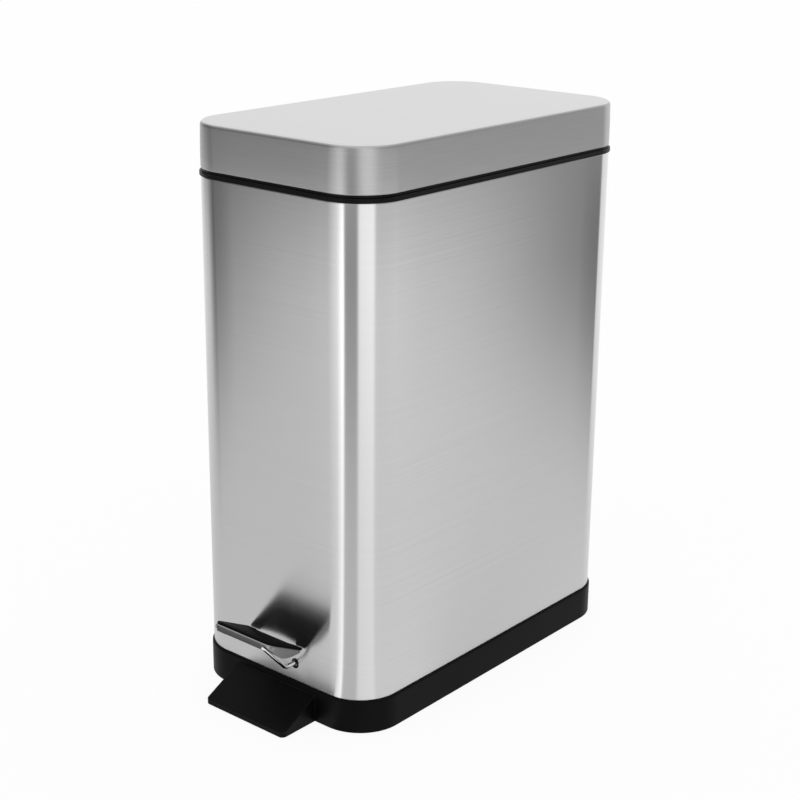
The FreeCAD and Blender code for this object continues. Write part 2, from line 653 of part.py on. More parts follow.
bail_x = f"({rim_half_x} - Dims.bail_inset - {bail_radius})"
bail_front = f"({rim_front} + Dims.bail_inset + {bail_radius})"
bail_end = f"({ear_near} - Dims.bail_tail)"
bail_points = [
    (bail_end, rim_mid, bail_z),
    (bail_x, rim_mid, bail_z),
    (bail_x, bail_front, bail_z),
    (f"-{bail_x}", bail_front, bail_z),
    (f"-{bail_x}", rim_mid, bail_z),
    (f"-{bail_end}", rim_mid, bail_z),
]
bail_bends = ["Dims.bail_bend", "Dims.bail_corner", "Dims.bail_corner", "Dims.bail_bend"]
node(bent_rod("bucket_handle", bail_points, bail_bends, "Dims.bail_diameter"))

# Collar: bead over the sleeve's edge, wall inside it, ledge for the bucket and two hinge ears

bead = outline_slab("bead", "-Dims.bead_overhang", sleeve_top, bead_top, "Dims.bead_round")
collar_low = f"({sleeve_top} - Dims.collar_depth)"
collar_outer = outline_slab("collar_outer", inside, collar_low, bead_top)
collar_hollow = outline_slab("collar_hollow", collar_inside, f"{collar_low} - Dims.overcut",
                             f"{bead_top} + Dims.overcut")
collar_ring = cut("collar_ring", fuse("collar_solid", bead, collar_outer), collar_hollow)
ledge_plate = outline_slab("ledge_plate", inside, f"{ledge_top} - Dims.ledge_height", ledge_top)
opening_inset = "(Dims.bucket_rim - Dims.bucket_opening_gap)"
ledge_opening = slab("ledge_opening", f"{rim_width} - 2 * {opening_inset}",
                     f"{rim_depth} - 2 * {opening_inset}", f"{rim_radius} - {opening_inset}",
                     f"{collar_low} - Dims.overcut", f"{ledge_top} + Dims.overcut", rim_mid)
guide_hole = cylinder("ledge_rod_hole", f"{rod_radius} + Dims.slide_gap", "z", ("Dims.rod_place", rod_y),
                      f"{collar_low} - Dims.overcut", f"{ledge_top} + Dims.overcut")
ledge = cut("ledge", ledge_plate, ledge_opening, guide_hole)
lid_ear_end = "(Dims.knuckle_place + Dims.knuckle_length)"
ear_start = f"({lid_ear_end} + Dims.slide_gap)"
ear_end = f"({ear_start} + Dims.knuckle_length)"
hinge_ears = []
for index, span in enumerate(mirrored(ear_start, ear_end)):
    hinge_ears.append(cylinder(f"ear_knuckle{index}", "Dims.knuckle_radius", "x", hinge_axis, *span))
    hinge_ears.append(box(f"ear_bridge{index}", span, (f"{rear} - {inside}", hinge_y),
                          (sleeve_top, bead_top)))
    hinge_ears.append(box(f"ear_gusset{index}", span, (f"{rear} + Dims.slide_gap", hinge_y),
                          (f"{hinge_z} - Dims.knuckle_radius", bead_top)))
pin_hole = cylinder("collar_pin_hole", "Dims.hinge_pin_diameter / 2", "x", hinge_axis,
                    f"-{ear_end}", ear_end)
collar_holes = rivet_holes("collar_hole", collar_rivet_z, "Dims.collar_wall")
node(cut("top_collar", fuse("collar_with_ears", collar_ring, ledge, *hinge_ears), pin_hole, *collar_holes))
rivets("collar_rivets", collar_rivet_z, "Dims.collar_wall")
node(group("hinge_pin", cylinder("hinge_pin_rod", "Dims.hinge_pin_diameter / 2", "x", hinge_axis,
                                 f"-{ear_end}", ear_end)))

# Lid: pressed shell over a moulded liner with the moving hinge knuckles

lid_ear_top = f"({hinge_z} + Dims.knuckle_radius)"
lid_outer = outline_slab("lid_outer", "0", lid_low, lid_top, "Dims.lid_round")
lid_inner = outline_slab("lid_inner", "Dims.sheet_metal", f"{lid_low} - Dims.overcut",
                         f"{lid_top} - Dims.sheet_metal", "Dims.lid_round - Dims.sheet_metal")
ear_gaps = []
gap_range = ("Dims.knuckle_place - Dims.slide_gap", f"{lid_ear_end} + Dims.slide_gap")
for index, span in enumerate(mirrored(*gap_range)):
    ear_gaps.append(box(f"lid_ear_gap{index}", span,
                        (f"{rear} - Dims.sheet_metal - Dims.overcut", f"{rear} + Dims.overcut"),
                        (f"{lid_low} - Dims.overcut", f"{lid_ear_top} + Dims.slide_gap")))
node(cut("lid_shell", lid_outer, lid_inner, *ear_gaps))

liner_top = f"({lid_top} - {inside})"
liner_outer = outline_slab("liner_outer", inside, lip_low, liner_top, f"Dims.lid_round - {inside}")
liner_lip = outline_slab("liner_lip", "Dims.lip_inset", lip_low, lid_low)
liner_hollow = outline_slab("liner_hollow", liner_inside, f"{lip_low} - Dims.overcut",
                            f"{liner_top} - Dims.liner_panel")
liner_tray = cut("liner_tray", fuse("liner_solid", liner_outer, liner_lip), liner_hollow)
lid_ears = []
for index, span in enumerate(mirrored("Dims.knuckle_place", lid_ear_end)):
    lid_ears.append(cylinder(f"lid_knuckle{index}", "Dims.knuckle_radius", "x", hinge_axis, *span))
    lid_ears.append(box(f"lid_ear{index}", span, (f"{rear} - {liner_inside}", hinge_y),
                        (lip_low, lid_ear_top)))
lid_pin_hole = cylinder("lid_pin_hole", "Dims.hinge_pin_diameter / 2 + Dims.running_gap", "x",
                        hinge_axis, f"-{ear_end}", ear_end)

liner_face = f"({rear} - {liner_inside})"
flange_face = f"({liner_face} - Dims.crank_flange)"
flange_low = f"({lip_low} + Dims.crank_flange_rise)"
flange_high = f"({flange_low} + Dims.crank_flange_height)"
screw_z = f"(({flange_low} + {flange_high}) / 2)"
screw_places = [(f"{side} * Dims.screw_spread / 2", screw_z) for side in (1, -1)]
screw_end = f"({liner_face} + Dims.screw_bite)"


def screw_shanks(name):
    shanks = []
    for index, place in enumerate(screw_places):
        shanks.append(cylinder(f"{name}{index}", "Dims.screw_diameter / 2", "y", place,
                               flange_face, screw_end))
    return shanks


buffer_x = ("Dims.body_width / 2 - Dims.lip_inset - Dims.buffer_width - Dims.lip_inset",
            "Dims.body_width / 2 - 2 * Dims.lip_inset")
buffer_z = (f"{bead_top} + Dims.buffer_gap", f"{lip_low} + Dims.buffer_sink")
buffers = []
buffer_seats = []
for side_index, span in enumerate(mirrored(*buffer_x)):
    for end_index, end in enumerate((-1, 1)):
        middle = f"{end} * Dims.buffer_spread / 2"
        length = (f"{middle} - Dims.buffer_length / 2", f"{middle} + Dims.buffer_length / 2")
        buffers.append(box(f"buffer{side_index}{end_index}", span, length, buffer_z))
        buffer_seats.append(box(f"buffer_seat{side_index}{end_index}", span, length, buffer_z))
node(group("lid_buffers", *buffers))
liner_body = fuse("liner_with_ears", liner_tray, *lid_ears)
node(cut("lid_liner", liner_body, lid_pin_hole, *screw_shanks("liner_screw_hole"), *buffer_seats))

# Lid crank: bracket screwed to the liner, with the pin that the push rod lifts

plate_x = (f"-{plate_side}", plate_side)
through_plate = (f"-{plate_side} - Dims.overcut", f"{plate_side} + Dims.overcut")
flange_half = "Dims.crank_flange_width / 2"
crank_flange = box("crank_flange", (f"-{flange_half}", flange_half), (flange_face, liner_face),
                   (flange_low, flange_high))
crank_web = stadium("crank_web", (lid_pin_y, lid_pin_z), (lid_pin_y, f"{flange_high} - Dims.crank_edge"),
                    "Dims.crank_edge", *plate_x)
crank_join = box("crank_join", plate_x, (lid_pin_y, f"{flange_face} + Dims.crank_flange / 2"),
                 (flange_low, flange_high))
crank_pin_hole = cylinder("crank_pin_hole", pin_radius, "x", (lid_pin_y, lid_pin_z), *plate_x)
lid_crank_solid = fuse("lid_crank_solid", crank_flange, crank_web, crank_join)
node(cut("lid_crank", lid_crank_solid, crank_pin_hole, *screw_shanks("flange_screw_hole")))


def headed_pin(name, place, reach):
    """A pin riveted in a crank plate, with a flat head past the link that it moves."""
    head_start = f"({reach} + Dims.slide_gap)"
    shank = cylinder(f"{name}_shank", pin_radius, "x", place, plate_x[0], head_start)
    head = cylinder(f"{name}_head", "Dims.link_head_diameter / 2", "x", place, head_start,
                    f"{head_start} + Dims.link_head_height")
    return node(fuse(name, shank, head))


headed_pin("lid_crank_pin", (lid_pin_y, lid_pin_z), head_far)
screws = []
for index, (place, shank) in enumerate(zip(screw_places, screw_shanks("screw_shank"))):
    head = cylinder(f"screw_head{index}", "Dims.screw_head / 2", "y", place,
                    f"{flange_face} - Dims.screw_head_height", flange_face)
    screws.append(fuse(f"crank_screw{index}", shank, head))
node(group("lid_crank_screws", *screws))

# Push rod with its slotted head, and the clip on its lower end

head_reach = f"({lid_arm} * (1 - cos({lid_half})) / 2 + {head_slot} + Dims.head_edge)"
head_block = box("head_block", (head_near, head_far),
                 (f"{rod_y} - {head_reach}", f"{rod_y} + {head_reach}"),
                 (head_low, f"{lid_pin_z} + {head_slot} + Dims.head_edge"))
head_opening = stadium("head_opening", (f"{hinge_y} - {lid_arm}", lid_pin_z), (lid_pin_y, lid_pin_z),
                       head_slot, f"{head_near} - Dims.overcut", f"{head_far} + Dims.overcut")
rod_end = f"({head_low} + Dims.rod_seat)"
head_socket = cylinder("head_socket", rod_radius, "z", ("Dims.rod_place", rod_y),
                       f"{head_low} - Dims.overcut", rod_end)
node(cut("push_rod_head", head_block, head_opening, head_socket))
rod_points = [
    ("-Dims.rod_tail", rod_y, rod_low),
    ("Dims.rod_place", rod_y, rod_low),
    ("Dims.rod_place", rod_y, rod_end),
]
node(bent_rod("push_rod", rod_points, ["Dims.rod_bend"], "Dims.rod_diameter"))
clip_end = f"(-{plate_side} - Dims.slide_gap)"
clip_disc = cylinder("clip_disc", "Dims.clip_diameter / 2", "x", (rod_y, rod_low),
                     f"{clip_end} - Dims.clip_height", clip_end)
clip_hole = cylinder("clip_hole", rod_radius, "x", (rod_y, rod_low),
                     f"{clip_end} - Dims.clip_height - Dims.overcut", f"{clip_end} + Dims.overcut")
node(cut("push_rod_clip", clip_disc, clip_hole))

# Bell crank: hub, lower arm with the bar's pin, and slotted rear arm under the push rod

slot_start = "Dims.bell_rear_arm"
slot_end = f"(Dims.bell_rear_arm / cos({bell_half}))"


def on_rear_arm(radius):
    return (f"{bell_y} + {radius} * cos({bell_half})", f"{bell_z} - {radius} * sin({bell_half})")


hub_half = "(Dims.bell_rib_place - Dims.slide_gap)"
bell_hub = cylinder("bell_hub", "Dims.bell_hub_radius", "x", (bell_y, bell_z), f"-{hub_half}", hub_half)
lower_arm = stadium("bell_lower", (bell_y, bell_z), (bell_pin_y, bell_pin_z), "Dims.crank_edge", *plate_x)
rear_arm = stadium("bell_rear", (bell_y, bell_z), on_rear_arm(slot_end), "Dims.bell_arm_radius", *plate_x)
bell_slot = stadium("bell_slot", on_rear_arm(slot_start), on_rear_arm(slot_end),
                    f"{rod_radius} + {bell_drift} + Dims.link_gap", *through_plate)
bell_hole = cylinder("bell_hole", "Dims.bell_axle_diameter / 2 + Dims.running_gap", "x", (bell_y, bell_z),
                     f"-{hub_half} - Dims.overcut", f"{hub_half} + Dims.overcut")
bell_pin_hole = cylinder("bell_pin_hole", pin_radius, "x", (bell_pin_y, bell_pin_z), *plate_x)
bell_plate = fuse("bell_plate", bell_hub, lower_arm, rear_arm)
node(cut("bell_crank", bell_plate, bell_slot, bell_hole, bell_pin_hole))
headed_pin("bell_crank_pin", (bell_pin_y, bell_pin_z), bar_far)

# Drive bar with an upright slot at each end

front_slot = f"({pin_radius} + {bar_drift} + Dims.link_gap)"
rear_slot = f"({pin_radius} + Dims.link_gap)"
bar_y = (f"{pedal_pin_y} - {front_slot} - Dims.bar_edge / 2",
         f"{bell_pin_y} + {rear_slot} + Dims.bar_edge")
bar_block = box("bar_block", (bar_near, bar_far), bar_y, (bar_low, bar_high))
bar_cut_x = (f"{bar_near} - Dims.overcut", f"{bar_far} + Dims.overcut")
front_opening = stadium("bar_front_slot", (pedal_pin_y, f"{pedal_pin_z} - Dims.link_gap"),
                        (pedal_pin_y, f"{pedal_pin_end_z} + Dims.link_gap"), front_slot, *bar_cut_x)
rear_opening = stadium("bar_rear_slot", (bell_pin_y, f"{bell_z} - Dims.bell_lower_arm - Dims.link_gap"),
                       (bell_pin_y, f"{bell_pin_z} + Dims.link_gap"), rear_slot, *bar_cut_x)
node(cut("drive_bar", bar_block, front_opening, rear_opening))

# Pedal: axle behind the front wall, crank, one bent arm, and the step plate with its tread

axle_half = "(Dims.axle_length / 2)"
axle_rod = cylinder("axle_rod", axle_radius, "x", (axle_y, axle_z), f"-{axle_half}", axle_half)
node(group("pedal_axle", axle_rod))
crank_top = (f"{axle_y} + Dims.pedal_crank_setback", axle_z)
pedal_plate_arm = stadium("pedal_crank_plate", crank_top, (pedal_pin_y, pedal_pin_z),
                          "Dims.crank_edge", *plate_x)
axle_seat = cylinder("axle_seat", axle_radius, "x", (axle_y, axle_z), *through_plate)
pedal_pin_hole = cylinder("pedal_pin_hole", pin_radius, "x", (pedal_pin_y, pedal_pin_z), *plate_x)
node(cut("pedal_crank", pedal_plate_arm, axle_seat, pedal_pin_hole))
headed_pin("pedal_crank_pin", (pedal_pin_y, pedal_pin_z), bar_far)

tilt = "Dims.pedal_tilt"
edge_y = f"({front} - Dims.pedal_front)"
edge_z = "Dims.pedal_height"


def on_pedal(run, rise):
    """The (y, z) place that lies run behind the plate's front edge and rise above its top."""
    return (f"{edge_y} + ({run}) * cos({tilt}) + ({rise}) * sin({tilt})",
            f"{edge_z} - ({run}) * sin({tilt}) + ({rise}) * cos({tilt})")


def lay_on_pedal(thing):
    """Tilt a piece that was drawn level, with the plate's front edge at y = 0 and its top at z = 0."""
    thing.Placement = FreeCAD.Placement(FreeCAD.Vector(), FreeCAD.Rotation(FreeCAD.Vector(1, 0, 0), -1))
    thing.setExpression("Placement.Rotation.Angle", f"-{tilt}")
    thing.setExpression("Placement.Base.y", edge_y)
    thing.setExpression("Placement.Base.z", edge_z)
    return thing


skirt_run = "(Dims.pedal_length / 2)"
skirt_bow = "(Dims.pedal_skirt_side - Dims.pedal_skirt_front)"
skirt_radius = f"(({skirt_run} ^ 2 + {skirt_bow} ^ 2) / 2 / {skirt_bow})"
scoop_radius = "((Dims.tread_scoop ^ 2 / 4 + Dims.tread_scoop_depth ^ 2) / 2 / Dims.tread_scoop_depth)"
scoop_y = f"Dims.pedal_length - Dims.tread_scoop_depth + {scoop_radius}"
tray_low = "-2 * Dims.pedal_skirt_side"
tray_outer = slab("tray_outer", "Dims.pedal_width", "2 * Dims.pedal_length", "Dims.pedal_corner",
                  tray_low, "0", mid="Dims.pedal_length", top_round="Dims.pedal_metal")
tray_inner = slab("tray_inner", "Dims.pedal_width - 2 * Dims.pedal_metal", "2 * Dims.pedal_length",
                  "Dims.pedal_corner - Dims.pedal_metal", f"{tray_low} - Dims.overcut", "-Dims.pedal_metal",
                  mid="Dims.pedal_length + Dims.pedal_metal")
pedal_half = "(Dims.pedal_width / 2)"
past_pedal = (f"-{pedal_half} - Dims.overcut", f"{pedal_half} + Dims.overcut")
past_tray = (f"{tray_low} - 2 * Dims.overcut", "Dims.overcut")
tray_rear = box("tray_rear", past_pedal, ("Dims.pedal_length", "2 * Dims.pedal_length + Dims.overcut"),
                past_tray)
tray_scoop = cylinder("tray_scoop", scoop_radius, "z", ("0", scoop_y), *past_tray)
tray = cut("tray", tray_outer, tray_inner, tray_rear, tray_scoop)
skirt_curve = cylinder("skirt_curve", skirt_radius, "x",
                       (skirt_run, f"{skirt_radius} - Dims.pedal_skirt_side"), *past_pedal)
node(group("pedal_plate", lay_on_pedal(common("tray_trimmed", tray, skirt_curve))))

tread_width = "Dims.pedal_width - 2 * Dims.tread_inset"
tread_slab = slab("tread_slab", tread_width, "2 * Dims.pedal_length",
                  "Dims.pedal_corner - Dims.tread_inset", "0", "Dims.tread_height",
                  mid="Dims.pedal_length + Dims.tread_inset")
past_tread = ("-Dims.overcut", "Dims.tread_height + Dims.overcut")
tread_rear = box("tread_rear", past_pedal, ("Dims.pedal_length", "3 * Dims.pedal_length"), past_tread)
tread_cut = cylinder("tread_cut", scoop_radius, "z", ("0", scoop_y), *past_tread)
node(group("pedal_tread", lay_on_pedal(cut("tread_trimmed", tread_slab, tread_rear, tread_cut))))

bar_under = on_pedal(f"Dims.pedal_metal + Dims.slide_gap + {arm_radius}",
                     f"-Dims.pedal_metal - {arm_radius}")
arm_points = [
    ("Dims.arm_place", f"{axle_y} + Dims.arm_tail", "Dims.arm_height"),
    ("Dims.arm_place", f"{front} - Dims.arm_reach", "Dims.arm_height"),
    ("Dims.arm_place", *bar_under),
    ("Dims.arm_place - Dims.arm_span", *bar_under),
]
node(bent_rod("pedal_arm", arm_points, ["Dims.arm_bend", "Dims.arm_bend"], "Dims.arm_diameter"))

# Check every object, then write one file per piece

doc.recompute()
for thing in doc.Objects:
    faults = [state for state in thing.State if state in ("Invalid", "Error")]
    if faults:
        raise RuntimeError(f"{thing.Name} failed: {thing.getStatusString()}")
for thing in nodes:
    if thing.Shape.isNull() or not thing.Shape.isValid():
        raise RuntimeError(f"{thing.Label} has no valid shape")

os.makedirs("parts", exist_ok=True)
for thing in nodes:
    thing.Shape.exportStep(f"parts/{thing.Label}.step")
    bounds = thing.Shape.BoundBox
    print(f"{thing.Label}: {len(thing.Shape.Solids)} solids, {thing.Shape.Volume:.0f} mm3,"
          f" y {bounds.YMin:.2f} to {bounds.YMax:.2f}, z {bounds.ZMin:.2f} to {bounds.ZMax:.2f}")
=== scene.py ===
import json
import math

import bmesh
import bpy
from mathutils import Matrix, Vector


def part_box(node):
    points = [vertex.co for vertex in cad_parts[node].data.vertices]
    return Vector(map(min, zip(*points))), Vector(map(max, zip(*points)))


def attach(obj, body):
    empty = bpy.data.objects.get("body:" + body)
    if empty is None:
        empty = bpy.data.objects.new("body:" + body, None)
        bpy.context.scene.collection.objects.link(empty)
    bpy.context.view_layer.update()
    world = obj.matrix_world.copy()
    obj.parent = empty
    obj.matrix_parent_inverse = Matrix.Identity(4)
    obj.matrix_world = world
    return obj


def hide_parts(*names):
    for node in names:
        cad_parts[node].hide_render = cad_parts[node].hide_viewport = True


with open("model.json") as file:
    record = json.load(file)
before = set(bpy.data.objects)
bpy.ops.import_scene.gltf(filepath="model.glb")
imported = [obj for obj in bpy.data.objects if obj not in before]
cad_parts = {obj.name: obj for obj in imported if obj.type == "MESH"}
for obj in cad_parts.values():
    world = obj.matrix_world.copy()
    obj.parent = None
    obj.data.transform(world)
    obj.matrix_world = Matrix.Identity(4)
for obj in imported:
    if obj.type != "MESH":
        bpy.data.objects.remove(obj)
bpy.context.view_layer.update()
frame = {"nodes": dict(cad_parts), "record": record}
scene = bpy.context.scene
nodes = frame["nodes"]
mm = 0.001
print("frame loaded:", len(nodes), "CAD nodes")


# Colours and shader nodes

def linear(hexColour):
    channels = [int(hexColour[i:i + 2], 16) / 255 for i in (1, 3, 5)]
    curve = [c / 12.92 if c <= 0.04045 else ((c + 0.055) / 1.055) ** 2.4 for c in channels]
    return (*curve, 1.0)


def addNode(tree, kind, settings=None, inputs=None):
    shaderNode = tree.nodes.new(kind)
    for name, setting in (settings or {}).items():
        setattr(shaderNode, name, setting)
    for name, source in (inputs or {}).items():
        if isinstance(source, bpy.types.NodeSocket):
            tree.links.new(source, shaderNode.inputs[name])
        else:
            shaderNode.inputs[name].default_value = source
    return shaderNode


def startMaterial(name, shaderInputs):
    material = bpy.data.materials.new(name)
    material.use_nodes = True
    tree = material.node_tree
    shader = tree.nodes["Principled BSDF"]
    for socket, setting in shaderInputs.items():
        shader.inputs[socket].default_value = setting
    return material, tree, shader


def rampStops(rampNode, stops):
    ramp = rampNode.color_ramp
    while len(ramp.elements) < len(stops):
        ramp.elements.new(0.5)
    for element, (place, colour) in zip(ramp.elements, stops):
        element.position = place
        element.color = colour if isinstance(colour, tuple) else (colour, colour, colour, 1)


# Camera, from the picture's viewing angle

cameraSetup = {
    "place": (0.725, -0.8545, 0.567),
    "yaw": 40.3,
    "pitch": 18.5,
    "roll": 0.53,
    "lens": 73.8,
    "sensor": 36.0,
    "sees": (0.01, 20.0),  # nearest and furthest distance
}


def addCamera(setup):
    yaw, pitch, roll = (math.radians(setup[key]) for key in ("yaw", "pitch", "roll"))
    back = Vector((math.sin(yaw) * math.cos(pitch), -math.cos(yaw) * math.cos(pitch), math.sin(pitch)))
    right = (-back).cross(Vector((0, 0, 1))).normalized()
    up = right.cross(-back)
    tiltedRight = right * math.cos(roll) + up * math.sin(roll)
    tiltedUp = up * math.cos(roll) - right * math.sin(roll)
    turn = Matrix((tiltedRight, tiltedUp, back)).transposed()
    data = bpy.data.cameras.new("photoCamera")
    data.lens = setup["lens"]
    data.sensor_width = setup["sensor"]
    data.clip_start, data.clip_end = setup["sees"]
    camera = bpy.data.objects.new("photoCamera", data)
    scene.collection.objects.link(camera)
    camera.matrix_world = Matrix.Translation(setup["place"]) @ turn.to_4x4()
    scene.camera = camera


addCamera(cameraSetup)
print("camera placed")


# Studio: white sweep behind, dim room in front with two softboxes beside the camera,
# and their pools of light painted into the paper's glow

studio = {
    "floorRadius": 9.0,
    "floorSteps": 96,
    "paperColour": "#F4F4F4",
    "paperRoughness": 0.9,
    "paperGloss": 0.1,
    "paperEdge": (0.35, 1.3),  # the sheet fades out of the reflections between these radii
    "paperCentre": (0.05, -0.10, 0),
    "shadowShare": 0.08,  # how much of the bin's shadow the white floor keeps
    "ceiling": 1.1,
    # degrees from straight ahead towards the bin's right, and how bright that side is; on the paper these
    # are painted pools of light
    "paper": ((-180, 0.9), (-75, 0.78), (-44, 0.79), (-40, 0.85), (-15, 0.98), (0, 1.6), (4, 0.7), (32, 0.7),
              (38, 1.02), (70, 1.1), (76, 0.93), (138, 0.92), (148, 0.82), (156, 0.8), (180, 0.9)),
    "walls": ((-180, 1.05), (-75, 0.9), (-54, 0.12), (-47.5, 0.12), (-46.2, 0.34), (-45.4, 0.98), (-43, 1.0),
              (-40, 1.0), (-15, 1.4), (0, 2.6), (4, 0.2), (32, 0.2), (38, 1.3), (70, 1.5), (76, 1.04),
              (138, 1.06), (141, 0.99), (143.5, 0.76), (145.5, 0.26), (147, 0.02), (152, 0.02), (157, 1.05)),
    "upperWalls": ((-180, 1.05), (-110, 0.95), (-80, 0.12), (-40, 0.14), (-15, 0.7), (0, 1.2), (4, 0.5),
                   (32, 0.5), (38, 1.25), (70, 1.25), (78, 0.45), (138, 0.42), (147, 0.3), (156, 1.05)),
    # sine of the height at which walls pass into upper walls, and those into the ceiling
    "upperFrom": (-0.21, -0.05),
    "overheadFrom": (0.25, 0.8),
}
white = (1, 1, 1, 1)


def azimuthRamp(tree, direction, stops):
    parts = addNode(tree, "ShaderNodeSeparateXYZ", inputs={0: direction})
    front = addNode(tree, "ShaderNodeMath", {"operation": "MULTIPLY"}, {0: parts.outputs["Y"], 1: -1.0})
    around = addNode(tree, "ShaderNodeMath", {"operation": "ARCTAN2"},
                     {0: parts.outputs["X"], 1: front.outputs[0]})
    turn = addNode(tree, "ShaderNodeMapRange", {}, {0: around.outputs[0], 1: -math.pi, 2: math.pi})
    ramp = addNode(tree, "ShaderNodeValToRGB", inputs={0: turn.outputs[0]})
    rampStops(ramp, [((degrees + 180) / 360, grey) for degrees, grey in stops])
    return ramp.outputs[0]


def addWorld(setup):
    world = bpy.data.worlds.new("studioWorld")
    world.use_nodes = True
    scene.world = world
    tree = world.node_tree
    tree.nodes.clear()
    direction = addNode(tree, "ShaderNodeTexCoord").outputs["Generated"]
    height = addNode(tree, "ShaderNodeSeparateXYZ", inputs={0: direction}).outputs["Z"]
    raised = addNode(tree, "ShaderNodeMapRange", {"interpolation_type": "SMOOTHSTEP"},
                     {0: height, 1: setup["upperFrom"][0], 2: setup["upperFrom"][1]})
    room = addNode(tree, "ShaderNodeMix", {"data_type": "RGBA"}, {
        0: raised.outputs[0], 6: azimuthRamp(tree, direction, setup["walls"]),
        7: azimuthRamp(tree, direction, setup["upperWalls"])})
    overhead = addNode(tree, "ShaderNodeMapRange", {"interpolation_type": "SMOOTHSTEP"},
                       {0: height, 1: setup["overheadFrom"][0], 2: setup["overheadFrom"][1]})
    ceiling = setup["ceiling"]
    whole = addNode(tree, "ShaderNodeMix", {"data_type": "RGBA"},
                    {0: overhead.outputs[0], 6: room.outputs[2], 7: (ceiling, ceiling, ceiling, 1)})
    ray = addNode(tree, "ShaderNodeLightPath")
    seen = addNode(tree, "ShaderNodeMix", {"data_type": "RGBA"},
                   {0: ray.outputs["Is Camera Ray"], 6: whole.outputs[2], 7: white})
    light = addNode(tree, "ShaderNodeBackground", inputs={0: seen.outputs[2], 1: 1.0})
    addNode(tree, "ShaderNodeOutputWorld", inputs={0: light.outputs[0]})


def addFloor(setup):
    mesh = bpy.data.meshes.new("studioFloor")
    shape = bmesh.new()
    bmesh.ops.create_circle(
        shape, cap_ends=True, radius=setup["floorRadius"], segments=setup["floorSteps"])
    shape.to_mesh(mesh)
    shape.free()
    floor = bpy.data.objects.new("studioFloor", mesh)
    scene.collection.objects.link(floor)
    material, tree, shader = startMaterial("whiteSeamlessPaper", {
        "Base Color": linear(setup["paperColour"]), "Roughness": setup["paperRoughness"],
        "Specular IOR Level": setup["paperGloss"]})
    # a sheet of white paper under the bin: the camera sees white to the horizon,
    # and reflections see the room past its edge
    place = addNode(tree, "ShaderNodeTexCoord")
    out = addNode(tree, "ShaderNodeVectorMath", {"operation": "SUBTRACT"},
                  {0: place.outputs["Object"], 1: setup["paperCentre"]})
    away = addNode(tree, "ShaderNodeVectorMath", {"operation": "LENGTH"}, {0: out.outputs[0]})
    past = addNode(tree, "ShaderNodeMapRange", {"interpolation_type": "SMOOTHSTEP"}, {
        0: away.outputs["Value"], 1: setup["paperEdge"][0], 2: setup["paperEdge"][1]})
    ray = addNode(tree, "ShaderNodeLightPath")
    # painted pools of light: the paper's glow is brighter or darker by direction round the bin
    paintedLightPools = azimuthRamp(tree, out.outputs[0], setup["paper"])
    tone = addNode(tree, "ShaderNodeMix", {"data_type": "RGBA"},
                   {0: ray.outputs["Is Camera Ray"], 6: paintedLightPools, 7: white})
    glow = addNode(tree, "ShaderNodeEmission", inputs={"Color": tone.outputs[2], "Strength": 1.0})
    paper = addNode(tree, "ShaderNodeMixShader",
                    inputs={0: 1 - setup["shadowShare"], 1: shader.outputs[0], 2: glow.outputs[0]})
    beyond = addNode(tree, "ShaderNodeMapRange", {},
                     {0: ray.outputs["Is Camera Ray"], 3: past.outputs[0], 4: 0.0})
    clear = addNode(tree, "ShaderNodeBsdfTransparent")
    sheet = addNode(tree, "ShaderNodeMixShader",
                    inputs={0: beyond.outputs[0], 1: paper.outputs[0], 2: clear.outputs[0]})
    tree.links.new(sheet.outputs[0], tree.nodes["Material Output"].inputs["Surface"])
    mesh.materials.append(material)


addWorld(studio)
addFloor(studio)
scene.view_settings.view_transform = "Standard"
print("studio lit")


noiseSpan = (0.3, 0.7)    # nearly all of a noise pattern lies between these
patchSpan = (0.35, 0.65)  # a little narrower, for patches with a plainer edge


# Stainless sheet brushed with an abrasive belt: reflections stay sharp along the strokes
# and smear across them, and tone and shine change a little from stroke to stroke

quarterTurn = 0.25  # turns the smear across the strokes
strokeShine = (1.03, 0.97)  # share of the roughness in dark and in pale strokes


def brushedSteel(name, finish):
    roughness = finish["roughness"]
    material, tree, shader = startMaterial(name, {
        "Metallic": 1.0, "Anisotropic": finish["smear"], "Anisotropic Rotation": quarterTurn})
    place = addNode(tree, "ShaderNodeTexCoord")
    # real strokes are about 0.1 mm wide, drawn wider here so that they show
    long, thin = 1 / (finish["strokeLength"] * mm), 1 / (finish["strokeWidth"] * mm)
    along = {"ring": (long, long, thin), "depth": (thin, long, thin)}[finish["lay"]]
    stretch = addNode(tree, "ShaderNodeMapping", inputs={0: place.outputs["Object"], 3: along})
    strokes = addNode(tree, "ShaderNodeTexNoise", inputs={
        "Vector": stretch.outputs[0], "Scale": 1.0, "Detail": 3.0})
    tone = addNode(tree, "ShaderNodeValToRGB", inputs={0: strokes.outputs[0]})
    base = linear(finish["colour"])
    dark, pale = ((*(c * share for c in base[:3]), 1) for share in finish["toneRange"])
    rampStops(tone, list(zip(noiseSpan, (dark, pale))))
    tree.links.new(tone.outputs[0], shader.inputs["Base Color"])
    shine = addNode(tree, "ShaderNodeMapRange", {}, {
        0: strokes.outputs[0], 1: noiseSpan[0], 2: noiseSpan[1],
        3: roughness * strokeShine[0], 4: roughness * strokeShine[1]})
    tree.links.new(shine.outputs[0], shader.inputs["Roughness"])
    lay = addNode(tree, "ShaderNodeTangent", {"direction_type": "UV_MAP", "uv_map": "belt"})
    tree.links.new(lay.outputs[0], shader.inputs["Tangent"])
    return material


# Plastic and rubber moulded in an eroded tool: a fine even grain keeps the shine low, the flow
# of the melt leaves slow patches, and a painted highlight makes the rounded edges paler

grainDepth = {"Strength": 0.15, "Distance": 0.2 * mm}
paintedHighlightTurn = (0.99, 0.8)  # cosine of the turn at an edge where the painted highlight starts, and where it is full
paintedHighlightSamples = 6
patchShine = (0.88, 1.12)  # share of the roughness from patch to patch


